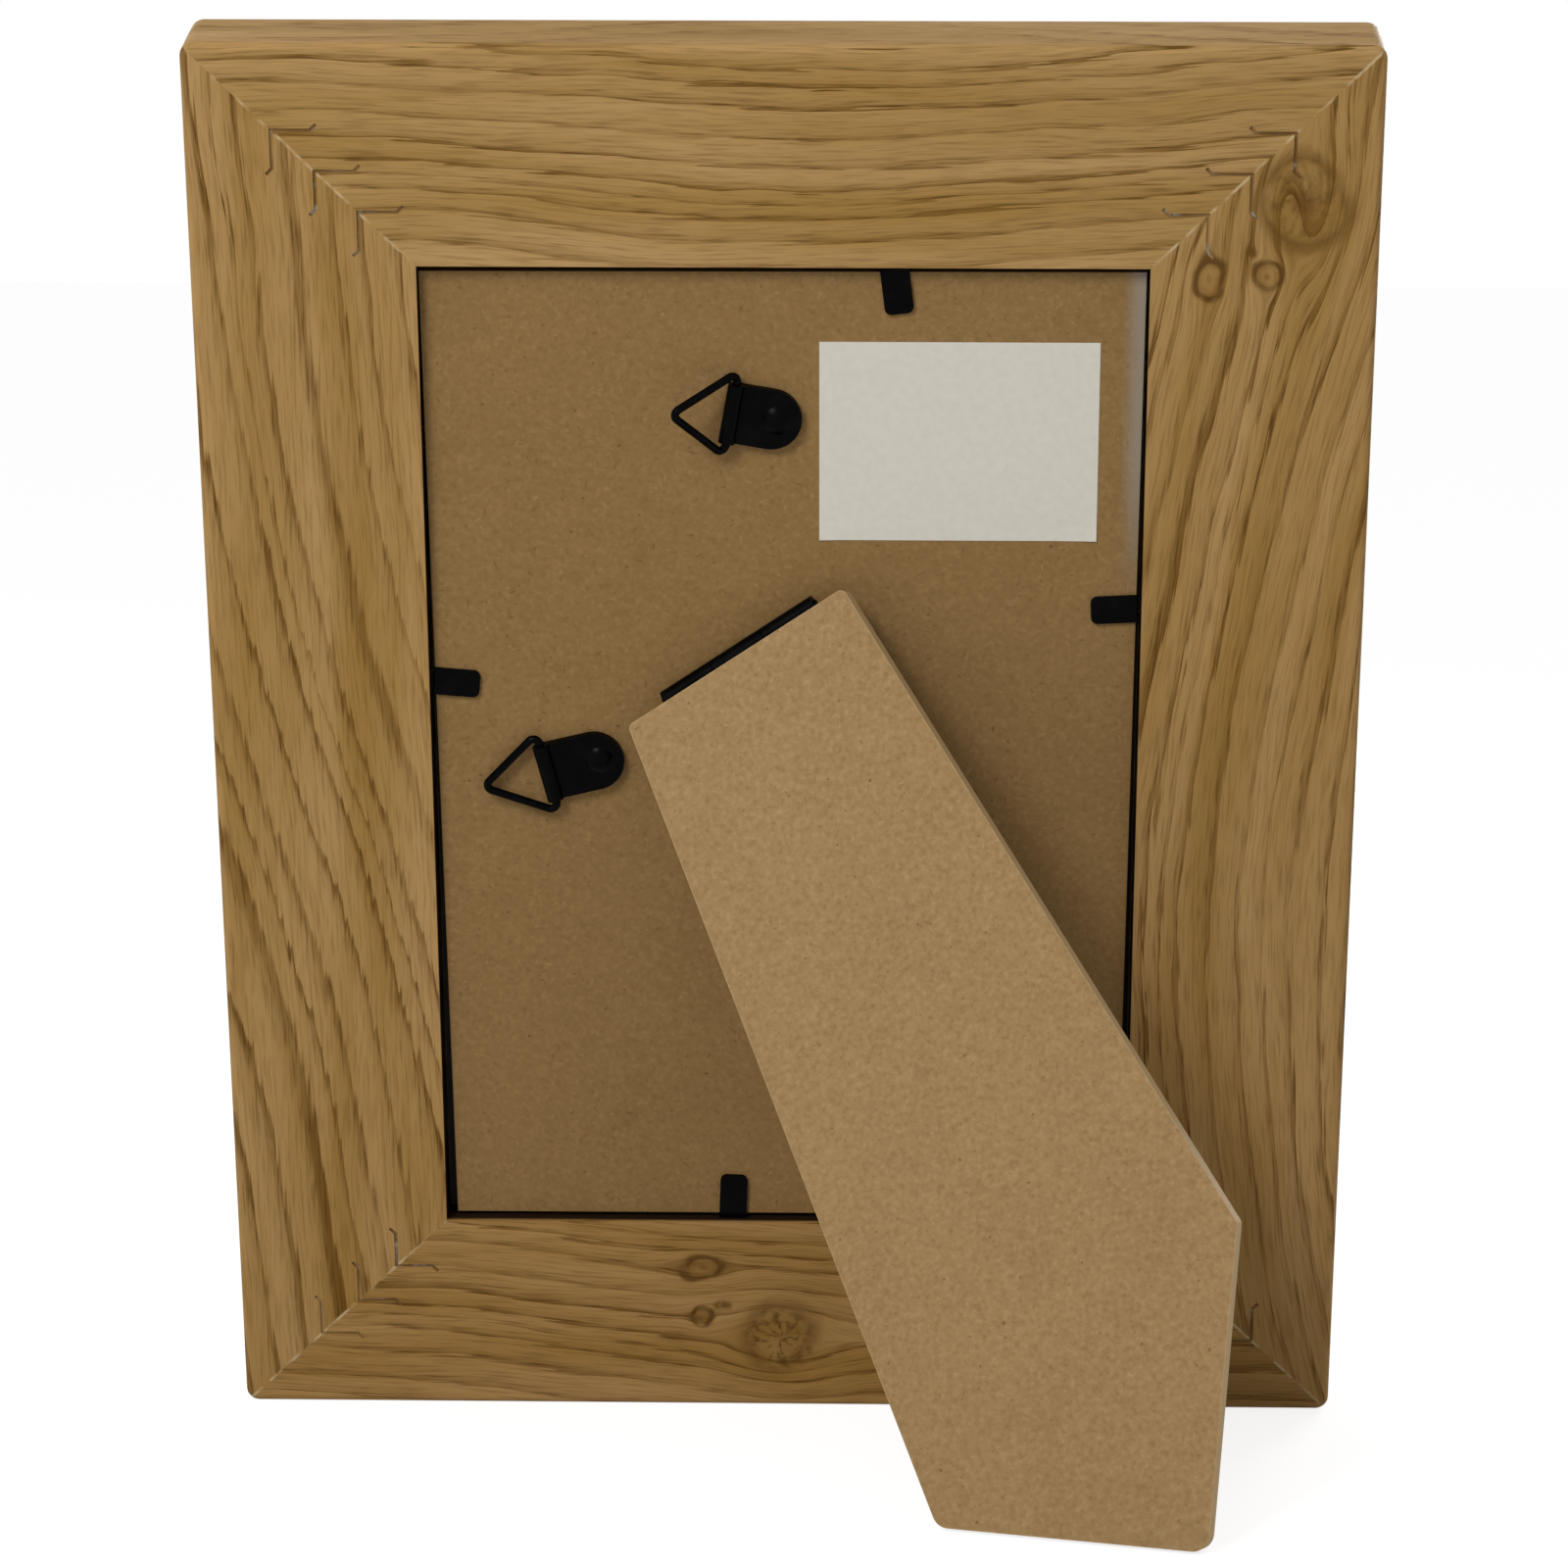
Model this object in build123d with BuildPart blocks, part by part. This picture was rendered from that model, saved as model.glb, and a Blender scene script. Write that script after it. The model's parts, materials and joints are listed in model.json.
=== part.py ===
# Easel back photo frame, seen as it stands: front to -Y, back to +Y, floor at Z = 0
import os
from math import atan, cos, degrees, hypot, radians, sin, tan

from build123d import *

os.makedirs("parts", exist_ok=True)

# Frame moulding, in millimetres
rebate_width = 105.0
rebate_height = 154.0
rail_width = 32.5
rail_depth = 15.0
lip_width = 5.5
outer_corner_radius = 2.0
back_edge_radius = 1.2
front_edge_radius = 1.5
lip_edge_radius = 1.2

# What lies in the rebate, from the lip to the back
glass_thickness = 2.0
glass_clearance = 0.6
insert_thickness = 0.3
insert_clearance = 0.3
board_thickness = 3.0
board_recess = 2.0
board_head_gap = 1.2
board_foot_gap = 0.75
board_head_side_gap = 0.3
board_foot_side_gap = 1.5
board_skew = 0.1

# Corner V-nails
nails_per_corner = 3
nail_first = 8.0
nail_pitch = 6.0
nail_leg = 5.6
nail_flange = 0.9
nail_thickness = 0.5
nail_height = 7.0
nail_sink = 0.3

# Bendable retaining tabs
tab_width = 4.2
tab_thickness = 0.5
tab_reach = 7.4
tab_root_length = 8.0
tab_bend_offset = 0.7
tab_tip_radius = 1.0
tab_bend_gap = 0.05
top_tab_across = 15.9
top_tab_skew = 6.9
right_tab_up = 24.5
right_tab_skew = -3.0
left_tab_up = 12.5
left_tab_skew = 4.6
bottom_tab_across = -8.2
bottom_tab_skew = -2.0

# Strut and its hinge
lean_angle = 15.0
open_angle = 30.0
hinge_across = -6.4
hinge_up = 17.7
hinge_turn = 34.7
barrel_radius = 1.5
barrel_length = 27.0
knuckle_count = 3
barrel_clearance = 0.15
knuckle_gap = 0.15
pin_radius = 0.75
pin_running_gap = 0.05
pin_end = 0.4
leaf_thickness = 0.7
leaf_length = 12.0
leaf_setback = 0.3
ear_width = 3.0
ear_depth = 2.0
ear_spacing = 16.0
strut_thickness = 3.0
strut_top_width = 38.5
strut_top_gap = 1.1
strut_left_flare = 8.4
strut_right_flare = 2.0
strut_foot_width = 39.9
strut_foot_angle = 92.0
strut_foot_radius = 2.5
strut_corner_radius = 1.0

# Strap hangers, one for each way of hanging
strap_width = 9.0
strap_thickness = 0.5
strap_fold_gap = 0.1
strap_seat_gap = 0.12
wire_radius = 0.6
wire_sides = 16
wire_gap = 0.1
ring_width = 12.7
ring_depth = 9.9
ring_bend_radius = 0.9
ring_butt_gap = 0.6
rivet_to_end = 3.6
rivet_shank_radius = 1.1
rivet_hole_gap = 0.1
rivet_head_radius = 2.1
rivet_head_height = 0.8
rivet_tail_radius = 1.8
rivet_tail_height = 0.7
top_hanger_drop = 23.4
top_hanger_across = -0.9
top_hanger_turn = 170.0
top_strap_length = 11.5
top_ring_lift = 30.0
side_hanger_inset = 25.0
side_hanger_up = 0.1
side_hanger_turn = 194.0
side_strap_length = 12.8
side_ring_lift = 0.0

# How far every cut runs past the face it opens
overrun = 1.0

# Sizes that follow from these
frame_width = rebate_width + 2 * rail_width
frame_height = rebate_height + 2 * rail_width
middle = frame_height / 2
sight_width = rebate_width - 2 * lip_width
sight_height = rebate_height - 2 * lip_width
board_floor = board_recess + board_thickness
insert_floor = board_floor + insert_thickness
rebate_depth = insert_floor + glass_thickness
strap_height = 2 * strap_thickness + strap_fold_gap
loop_radius = wire_radius + wire_gap + strap_thickness
axis_height = barrel_radius + barrel_clearance

# The back plane: x to the right as seen from behind, y up the frame, z out of the back
lean = radians(lean_angle)
edge_lift = back_edge_radius * (cos(lean) + sin(lean) - 1)


def back_plane(shift):
    return Plane(origin=(0, shift, -edge_lift), x_dir=(-1, 0, 0), z_dir=(0, cos(lean), -sin(lean)))


def hinge_plane(back):
    # Through the hinge axis, parallel to the board, with x along the axis
    centre = Pos(hinge_across, middle + hinge_up, axis_height - board_recess)
    return Plane(back.location * centre * Rot(Z=hinge_turn))


def strut_plane(back):
    # The hinge plane swung open, with y up the strut and z out of its back
    return Plane(hinge_plane(back).location * Rot(X=-open_angle))


def crossing(first, second):
    # Lines are given as a height on the y axis and a slope
    x = (second[0] - first[0]) / (first[1] - second[1])
    return x, first[0] + first[1] * x


def line_through(point, angle):
    slope = tan(radians(angle))
    return point[1] - slope * point[0], slope


def strut_corners(back):
    # The foot runs where the floor meets the strut's inner face
    face = strut_plane(back).offset(barrel_radius)
    foot = (-face.origin.Z / face.y_dir.Z, -face.x_dir.Z / face.y_dir.Z)
    foot_turn = degrees(atan(foot[1]))
    top_left = (-strut_top_width / 2, -strut_top_gap)
    top_right = (strut_top_width / 2, -strut_top_gap)
    foot_left = crossing(foot, line_through(top_left, 90 - strut_left_flare))
    foot_x = foot_left[0] + strut_foot_width * cos(radians(foot_turn))
    foot_right = (foot_x, foot[0] + foot[1] * foot_x)
    side_foot = line_through(foot_right, foot_turn + 180 - strut_foot_angle)
    knee = crossing(side_foot, line_through(top_right, 90 + strut_right_flare))
    return [top_left, top_right, knee, foot_right, foot_left]


# The origin lies midway between the front of the frame and the back of the strut's foot
upright = back_plane(0)
outline = strut_corners(upright)
foot_face = strut_plane(upright).offset(barrel_radius + strut_thickness)
foot_reach = foot_face.from_local_coords((outline[3][0], outline[3][1], 0)).Y
front_depth = rail_depth - front_edge_radius
front_reach = front_depth * cos(lean) + front_edge_radius * (1 - sin(lean))
back = back_plane((front_reach - foot_reach) / 2)
hinge = hinge_plane(back)
strut_face = strut_plane(back)


def below_back(depth, across=0, up=middle, turn=0):
    # Parallel to the back, a given depth into it
    return Plane(back.location * Pos(across, up, -depth) * Rot(Z=turn))


# V-nails: an L across each mitre, its legs along the two rails and its ends turned out
def nail_outlines(plane):
    with BuildSketch(plane) as outlines:
        for side in (-1, 1):
            for end in (-1, 1):
                for count in range(nails_per_corner):
                    step = nail_first + count * nail_pitch
                    x = side * (rebate_width / 2 + step)
                    y = middle + end * (rebate_height / 2 + step)
                    leg_x = x - side * nail_leg
                    leg_y = y - end * nail_leg
                    with BuildLine():
                        Polyline(
                            (leg_x - side * nail_flange, y + end * nail_flange),
                            (leg_x, y),
                            (x, y),
                            (x, leg_y),
                            (x + side * nail_flange, leg_y - end * nail_flange),
                        )
                    trace(line_width=nail_thickness)
    return outlines.sketch


with BuildPart() as corner_v_nails:
    extrude(nail_outlines(back.offset(-nail_sink)), amount=-nail_height)

with BuildPart() as nail_slots:
    extrude(nail_outlines(back.offset(overrun)), amount=-(overrun + nail_sink + nail_height))

# Retaining tabs: the root stays in the wood and the blade bends at the rebate wall
tab_depth = board_recess - tab_thickness / 2
tabs = {
    "top": below_back(tab_depth, top_tab_across, middle + rebate_height / 2, top_tab_skew - 90),
    "right": below_back(tab_depth, rebate_width / 2, middle + right_tab_up, 180 - right_tab_skew),
    "left": below_back(tab_depth, -rebate_width / 2, middle + left_tab_up, -left_tab_skew),
    "bottom": below_back(tab_depth, bottom_tab_across, middle - rebate_height / 2, 90 + bottom_tab_skew),
}
tab_blades = {}
for side, plane in tabs.items():
    with BuildPart() as blade:
        with BuildSketch(plane.offset(-tab_thickness / 2)):
            with Locations(((tab_bend_offset + tab_reach) / 2, 0)):
                Rectangle(tab_reach - tab_bend_offset, tab_width)
            fillet(vertices().group_by(Axis.X)[-1], tab_tip_radius)
        extrude(amount=tab_thickness)
        bend_line = plane.from_local_coords((tab_bend_offset, -tab_width / 2, 0))
        with BuildSketch(Plane(origin=bend_line, x_dir=plane.x_dir, z_dir=plane.y_dir)):
            Circle(tab_thickness / 2)
        extrude(amount=tab_width)
    tab_blades[side] = blade

with BuildPart() as retaining_tab_roots:
    root_end = tab_bend_offset - tab_thickness / 2 - tab_bend_gap
    for plane in tabs.values():
        with BuildSketch(plane.offset(-tab_thickness / 2)):
            with Locations(((root_end - tab_root_length) / 2, 0)):
                Rectangle(root_end + tab_root_length, tab_width)
        extrude(amount=tab_thickness)

# Rails: one rounded and rebated ring, cut into four at the mitres
with BuildPart() as frame_blank:
    with BuildSketch(below_back(rail_depth)):
        RectangleRounded(frame_width, frame_height, outer_corner_radius)
        Rectangle(sight_width, sight_height, mode=Mode.SUBTRACT)
    extrude(amount=rail_depth)
    out_of_back = Axis(back.origin, back.z_dir)
    fillet(faces().sort_by(out_of_back)[-1].outer_wire().edges(), back_edge_radius)
    fillet(faces().sort_by(out_of_back)[0].outer_wire().edges(), front_edge_radius)
    fillet(faces().sort_by(out_of_back)[0].inner_wires()[0].edges(), lip_edge_radius)
    with BuildSketch(below_back(rebate_depth)):
        Rectangle(rebate_width, rebate_height)
    extrude(amount=rebate_depth + overrun, mode=Mode.SUBTRACT)

mitre_reach = rail_width + lip_width + overrun
wide = frame_width / 2 + overrun
tall = frame_height / 2 + overrun
narrow = frame_width / 2 - mitre_reach
short = frame_height / 2 - mitre_reach
mitre_wedges = {
    "top_rail": [(-wide, tall), (wide, tall), (narrow, short), (-narrow, short)],
    "bottom_rail": [(-wide, -tall), (wide, -tall), (narrow, -short), (-narrow, -short)],
    "left_rail": [(-wide, tall), (-wide, -tall), (-narrow, -short), (-narrow, short)],
    "right_rail": [(wide, tall), (wide, -tall), (narrow, -short), (narrow, short)],
}
rails = {}
for name, corners in mitre_wedges.items():
    with BuildPart() as rail:
        add(frame_blank.part)
        with BuildSketch(below_back(rail_depth + overrun)):
            with BuildLine():
                Polyline(*corners, close=True)
            make_face()
        extrude(amount=rail_depth + 2 * overrun, mode=Mode.INTERSECT)
        add(nail_slots.part, mode=Mode.SUBTRACT)
        add(retaining_tab_roots.part, mode=Mode.SUBTRACT)
    rails[name] = rail

# Glass, and the sheet behind it
with BuildPart() as glass_pane:
    with BuildSketch(below_back(rebate_depth)):
        Rectangle(rebate_width - 2 * glass_clearance, rebate_height - 2 * glass_clearance)
    extrude(amount=glass_thickness)

with BuildPart() as photo_insert:
    with BuildSketch(below_back(insert_floor)):
        Rectangle(rebate_width - 2 * insert_clearance, rebate_height - 2 * insert_clearance)
    extrude(amount=insert_thickness)

# Hinge: two leaves with rolled knuckles round one pin, each held by two ears bent into its board
knuckle_length = barrel_length / knuckle_count


def knuckle_profile(plane, face_height, bore):
    # Seen along the axis: x down the leaf, y out of the board
    with BuildSketch(plane) as profile:
        Circle(barrel_radius)
        with Locations(((barrel_radius + leaf_setback) / 2, face_height + leaf_thickness / 2)):
            Rectangle(barrel_radius + leaf_setback, leaf_thickness)
        Circle(bore, mode=Mode.SUBTRACT)
    return profile.sketch


def along_axis(plane, place):
    # Square to the hinge axis, a given way along it
    return Plane(origin=plane.from_local_coords((place, 0, 0)), x_dir=-plane.y_dir, z_dir=-plane.x_dir)


def leaf_plate(plane, face_height):
    with BuildSketch(plane.offset(face_height)) as plate:
        with Locations((0, -(barrel_radius + leaf_setback + leaf_length) / 2)):
            Rectangle(barrel_length, leaf_length - barrel_radius - leaf_setback)
    return plate.sketch


def leaf_ears(plane, face_height):
    with BuildSketch(plane.offset(face_height)) as ears:
        with Locations((-ear_spacing / 2, -leaf_length), (ear_spacing / 2, -leaf_length)):
            Rectangle(ear_width, leaf_thickness, align=(Align.CENTER, Align.MIN))
    return ears.sketch


with BuildPart() as hinge_board_leaf:
    outer_knuckle = knuckle_length - knuckle_gap / 2
    for place in (-barrel_length / 2 + outer_knuckle, barrel_length / 2):
        knuckle_end = along_axis(hinge, place)
        extrude(knuckle_profile(knuckle_end, -axis_height, pin_radius), amount=outer_knuckle)
    extrude(leaf_plate(hinge, -axis_height), amount=leaf_thickness)
    extrude(leaf_ears(hinge, -axis_height), amount=-ear_depth)

with BuildPart() as hinge_strut_leaf:
    inner_knuckle = knuckle_length - knuckle_gap
    inner_face = barrel_radius - leaf_thickness
    inner_bore = pin_radius + pin_running_gap
    knuckle_end = along_axis(strut_face, inner_knuckle / 2)
    extrude(knuckle_profile(knuckle_end, inner_face, inner_bore), amount=inner_knuckle)
    extrude(leaf_plate(strut_face, inner_face), amount=leaf_thickness)
    extrude(leaf_ears(strut_face, barrel_radius), amount=ear_depth)

with BuildPart() as hinge_pin:
    with BuildSketch(along_axis(hinge, barrel_length / 2 + pin_end)):
        Circle(pin_radius)
    extrude(amount=barrel_length + 2 * pin_end)
    chamfer(edges().filter_by(GeomType.CIRCLE), pin_end / 2)

# Strut: its lower edges are cut to meet the floor upright and on its side
with BuildPart() as strut:
    with BuildSketch(strut_face.offset(barrel_radius)) as strut_outline:
        with BuildLine():
            Polyline(*outline, close=True)
        make_face()
        fillet(strut_outline.vertices().sort_by(Axis.Y)[:2], strut_foot_radius)
        fillet(strut_outline.vertices().sort_by(Axis.Y)[-3:], strut_corner_radius)
    extrude(amount=strut_thickness)
    add(hinge_strut_leaf.part, mode=Mode.SUBTRACT)

# Strap hangers: a strap folded round a wire ring, on a loose rivet that lets it turn clear of the board
hangers = {
    "top": {
        "plane": below_back(
            board_recess - strap_seat_gap,
            top_hanger_across,
            middle + rebate_height / 2 - top_hanger_drop,
            top_hanger_turn,
        ),
        "strap": top_strap_length,
        "lift": top_ring_lift,
    },
    "side": {
        "plane": below_back(
            board_recess - strap_seat_gap,
            side_hanger_inset - rebate_width / 2,
            middle + side_hanger_up,
            side_hanger_turn,
        ),
        "strap": side_strap_length,
        "lift": side_ring_lift,
    },
}


def hanger_strap(plane, length):
    bar = length - rivet_to_end - loop_radius
    side_view = Plane(origin=plane.origin, x_dir=plane.x_dir, z_dir=-plane.y_dir)
    with BuildPart() as strap:
        with BuildSketch(side_view):
            for height in (0, strap_thickness + strap_fold_gap):
                with Locations((-rivet_to_end, height)):
                    Rectangle(bar + rivet_to_end, strap_thickness, align=Align.MIN)
            with Locations((bar, loop_radius)):
                Circle(loop_radius)
                Circle(wire_radius + wire_gap, mode=Mode.SUBTRACT)
        extrude(amount=strap_width / 2, both=True)
        with BuildSketch(plane):
            with Locations((strap_width / 2 - rivet_to_end, 0)):
                Circle(strap_width / 2)
                Rectangle(length, strap_width, align=(Align.MIN, Align.CENTER))
            Circle(rivet_shank_radius + rivet_hole_gap, mode=Mode.SUBTRACT)
        extrude(amount=2 * loop_radius, mode=Mode.INTERSECT)
    return strap


def hanger_ring(plane, length, lift):
    # Three equal bends, two beside the strap and one at the tip, of wire with enough flats to look round
    bar = length - rivet_to_end - loop_radius
    bend = ring_bend_radius
    half = ring_width / 2 - wire_radius - bend
    run = ring_depth - wire_radius - 2 * bend
    slant = hypot(run, half)
    out_x = bend * (1 + half / slant)
    out_y = half + bend * run / slant
    corner = out_y + out_x * half / run
    tip = out_x + out_y * run / half
    swung = Plane(plane.location * Pos(bar, 0, loop_radius) * Rot(Y=-lift))
    with BuildPart() as ring:
        with BuildLine(swung) as path:
            FilletPolyline(
                (0, ring_butt_gap / 2),
                (0, corner),
                (tip, 0),
                (0, -corner),
                (0, -ring_butt_gap / 2),
                radius=bend,
            )
        with BuildSketch(Plane(origin=path.line @ 0, z_dir=path.line % 0)):
            RegularPolygon(wire_radius, wire_sides)
        sweep(path=path.line)
    return ring


def hanger_rivet(plane):
    dome_radius = (rivet_head_radius**2 + rivet_head_height**2) / (2 * rivet_head_height)
    head_edge = (rivet_head_radius, strap_height)
    crown = (0, strap_height + rivet_head_height)
    tail = -strap_seat_gap - board_thickness
    side_view = Plane(origin=plane.origin, x_dir=plane.x_dir, z_dir=-plane.y_dir)
    with BuildPart() as rivet:
        with BuildSketch(side_view):
            with BuildLine():
                Polyline(
                    crown,
                    (0, tail),
                    (rivet_tail_radius, tail),
                    (rivet_shank_radius, tail + rivet_tail_height),
                    (rivet_shank_radius, strap_height),
                    head_edge,
                )
                RadiusArc(head_edge, crown, -dome_radius)
            make_face()
        revolve(axis=Axis(plane.origin, plane.z_dir))
    return rivet


straps = {}
rings = {}
rivets = {}
for name, hanger in hangers.items():
    straps[name] = hanger_strap(hanger["plane"], hanger["strap"])
    rings[name] = hanger_ring(hanger["plane"], hanger["strap"], hanger["lift"])
    rivets[name] = hanger_rivet(hanger["plane"])

# Backing board, cut a little narrower at its foot, with holes for the rivets and slots for the hinge's ears
board_half_length = (rebate_height - board_head_gap - board_foot_gap) / 2
board_half_head = rebate_width / 2 - board_head_side_gap
board_half_foot = rebate_width / 2 - board_foot_side_gap
board_drop = (board_head_gap - board_foot_gap) / 2
with BuildPart() as backing_board:
    with BuildSketch(below_back(board_floor, up=middle - board_drop, turn=board_skew)):
        Polygon(
            (board_half_foot, -board_half_length),
            (board_half_head, board_half_length),
            (-board_half_head, board_half_length),
            (-board_half_foot, -board_half_length),
        )
    extrude(amount=board_thickness)
    add(hinge_board_leaf.part, mode=Mode.SUBTRACT)
    for rivet in rivets.values():
        add(rivet.part, mode=Mode.SUBTRACT)

pieces = {
    "corner_v_nails": corner_v_nails,
    "retaining_tab_roots": retaining_tab_roots,
    "glass_pane": glass_pane,
    "photo_insert": photo_insert,
    "backing_board": backing_board,
    "hinge_board_leaf": hinge_board_leaf,
    "hinge_strut_leaf": hinge_strut_leaf,
    "hinge_pin": hinge_pin,
    "strut": strut,
}
pieces.update(rails)
for side, blade in tab_blades.items():
    pieces[f"retaining_tab_{side}"] = blade
for name in hangers:
    pieces[f"hanger_strap_{name}"] = straps[name]
    pieces[f"hanger_ring_{name}"] = rings[name]
    pieces[f"hanger_rivet_{name}"] = rivets[name]

for name, piece in pieces.items():
    piece.part.label = name
    export_step(piece.part, f"parts/{name}.step")
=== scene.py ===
import json
from math import pi, radians, tan

import bmesh
import bpy
from mathutils import Matrix, Vector


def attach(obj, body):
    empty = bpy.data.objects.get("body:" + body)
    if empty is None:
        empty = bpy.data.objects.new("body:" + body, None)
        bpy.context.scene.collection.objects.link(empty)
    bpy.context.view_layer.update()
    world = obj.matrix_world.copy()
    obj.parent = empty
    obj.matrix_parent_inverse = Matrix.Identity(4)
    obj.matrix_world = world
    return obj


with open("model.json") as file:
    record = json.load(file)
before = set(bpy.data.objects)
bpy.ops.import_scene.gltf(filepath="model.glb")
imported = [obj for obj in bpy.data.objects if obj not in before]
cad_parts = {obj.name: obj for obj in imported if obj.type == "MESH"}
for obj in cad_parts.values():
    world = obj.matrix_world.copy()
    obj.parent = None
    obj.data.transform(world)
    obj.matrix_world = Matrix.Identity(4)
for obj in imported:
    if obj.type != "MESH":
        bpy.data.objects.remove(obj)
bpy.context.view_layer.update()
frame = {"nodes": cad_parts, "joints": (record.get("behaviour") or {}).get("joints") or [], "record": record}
nodes = frame["nodes"]
mm = 0.001  # one millimetre in metres


# The back of the frame, as seen from behind: u to the right, v up from the bottom edge, w out of the back
frameSize = {"width": 170.0, "height": 219.0, "railWidth": 32.5, "boardRecess": 2.0}
rebateHalf = Vector((frameSize["width"], frameSize["height"])) / 2 - Vector((1, 1)) * frameSize["railWidth"]
wallFace = next(m for m in frame["record"]["mounts"] if m["name"] == "wall_face")
outOfBack = Vector(wallFace["axis"])
rightSeen = Vector((-1, 0, 0))
upFrame = outOfBack.cross(rightSeen)
backFoot = Vector(wallFace["pos_m"]) - upFrame * (frameSize["height"] - frameSize["railWidth"] / 2) * mm

# The strut's own plane, swung open from the back about its hinge
strutJoint = next(j for j in frame["joints"] if j["name"] == "strut_hinge")
hingeAxis = Vector(strutJoint["axis"])
strutOut = Matrix.Rotation(-radians(strutJoint["range_deg"][0]), 3, hingeAxis) @ outOfBack


def onBack(u, v, w=0.0):
    return backFoot + (rightSeen * u + upFrame * v + outOfBack * w) * mm


def linear(hexColour):
    channels = [int(hexColour[i : i + 2], 16) / 255 for i in (1, 3, 5)]
    return [c / 12.92 if c <= 0.04045 else ((c + 0.055) / 1.055) ** 2.4 for c in channels] + [1.0]


# Adds a node with its settings; a wire's value is a node, a socket or a constant
def addNode(tree, kind, wires=None, stops=None, **settings):
    made = tree.nodes.new("ShaderNode" + kind)
    for name, value in settings.items():
        setattr(made, name, value)
    for place, (colour, alpha) in (stops or {}).items():
        stop = made.color_ramp.elements.new(place)
        stop.color = linear(colour)[:3] + [alpha]
    if stops:  # the two stops that a new ramp comes with
        made.color_ramp.elements.remove(made.color_ramp.elements[-1])
        made.color_ramp.elements.remove(made.color_ramp.elements[0])
    sockets = [s for s in made.inputs if s.enabled]
    for key, value in (wires or {}).items():
        into = sockets[key] if isinstance(key, int) else next(s for s in sockets if s.name == key)
        if isinstance(value, bpy.types.Node):
            value = next(s for s in value.outputs if s.enabled)
        if isinstance(value, bpy.types.NodeSocket):
            tree.links.new(value, into)
        else:
            into.default_value = value
    return made


def newMaterial(name):
    material = bpy.data.materials.new(name)
    material.use_nodes = True
    material.node_tree.nodes.clear()
    return material, material.node_tree


def dress(material, *names):
    for name in names:
        for slot in nodes[name].material_slots:
            slot.material = material


# Millimetres along a plane's x, y and z, for the patterns
def planeSpace(tree, xAxis, zAxis, origin):
    turn = Matrix((xAxis, zAxis.cross(xAxis), zAxis))
    seat = addNode(tree, "TexCoord")
    wires = {"Vector": seat.outputs["Object"], "Scale": [1 / mm] * 3}
    wires["Rotation"] = turn.to_euler()
    wires["Location"] = -(turn @ origin) / mm
    return addNode(tree, "Mapping", wires)


# Noise drawn out to a length along x and a width across it
def stretched(tree, place, size, detail):
    length, width = size
    share = (1 / length, 1 / width, 1 / width)
    scaled = addNode(tree, "VectorMath", {0: place, 1: share}, operation="MULTIPLY")
    return addNode(tree, "TexNoise", {"Vector": scaled, "Scale": 1.0, "Detail": detail})


# Lays tones over a colour; a layer has a pattern, where that starts and is full, its strength and its tone
def layered(tree, colour, layers, tones):
    for pattern, least, most, strength, tone in layers:
        share = {"Value": pattern, "From Min": least, "From Max": most, "To Max": strength}
        share = addNode(tree, "MapRange", share)
        colour = addNode(tree, "Mix", {0: share, 1: colour, 2: tones[tone]}, data_type="RGBA")
    return colour


# Oak, sawn, sanded and lightly oiled: honey brown with serrated bands of open pores that wander along
# each rail, knots with the grain bent round them, and very little sheen
oak = {
    "pale": "#AC8A59", "middle": "#97753D", "band": "#654513", "pore": "#543810",
    # rebate is the colour of the painted shade on the walls deep inside the rebate
    "glue": "#BFA880", "ray": "#4E3410", "rebate": "#20140A",
    # In mm along and across the grain; fibres and pores are drawn coarser than real ones, so as to show
    "wave": (60, 20), "fibre": (14, 0.6), "comes": (50, 8), "dash": (7, 0.4), "tone": (110, 9),
    "wobble": 5.0, "serration": 2.4, "uneven": 2.6, "unevenLength": 13.0, "dip": 0.5, "faintYear": 0.6,
    "fade": {"from": -0.8, "to": -2.2, "left": 0.5},  # bands fade down the rails' sides
    "streaks": 0.3, "bands": 0.92, "pores": 0.85, "poresBetween": 0.32,  # how strongly each shows
    "roughness": (0.55, 0.8), "bump": 0.35, "poreDepth": 0.15, "sheen": 0.08,
    "glueWidth": 0.45, "glueLength": 3.5,
    # where the painted shade in the rebate starts from its edge, and the depths it lies between
    "shadeEdge": (0.25, 0.05), "shadeDepths": ((-0.3, -1.0), (-7.4, -7.2)),  # from under the back to the lip
    # Slant and bow (size, length, start) bend the year rings, a ring apart; the fibres follow by their lean
    # tint is painted shade: it darkens a rail's tones, the bottom rail most and warmest, the side rails a
    # little
    "rails": {
        "top_rail": {
            "centre": (0.0, 202.75), "turn": 0.5, "slant": 0.0, "bow": (2.6, 170.0, 52.5), "ring": 3.4,
            "lean": 0.5, "shift": 11.0, "tint": (1.0, 1.0, 1.0),
        },
        "bottom_rail": {
            "centre": (0.0, 16.25), "turn": -1.0, "slant": 0.0, "bow": (3.2, 150.0, 37.5), "ring": 3.6,
            "lean": 0.5, "shift": 47.0, "tint": (0.92, 0.88, 0.82),
        },
        "left_rail": {
            "centre": (-68.75, 109.5), "turn": 91.0, "slant": 8.0, "bow": (3.7, 213.0, -10.0), "ring": 4.8,
            "lean": 0.0, "shift": 83.0, "tint": (0.97, 0.95, 0.92),
        },
        "right_rail": {
            "centre": (68.75, 109.5), "turn": 90.5, "slant": 0.0, "bow": (17.0, 400.0, -130.0), "ring": 4.0,
            "lean": 0.75, "shift": 131.0, "tint": (0.97, 0.95, 0.92),
        },
    },
}
yearBand = {  # white where a year is dark, from its start to its end
    0.00: ("#000000", 1), 0.05: ("#FFFFFF", 1), 0.13: ("#F0F0F0", 1),
    0.26: ("#868686", 1), 0.60: ("#000000", 1),
}
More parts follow.
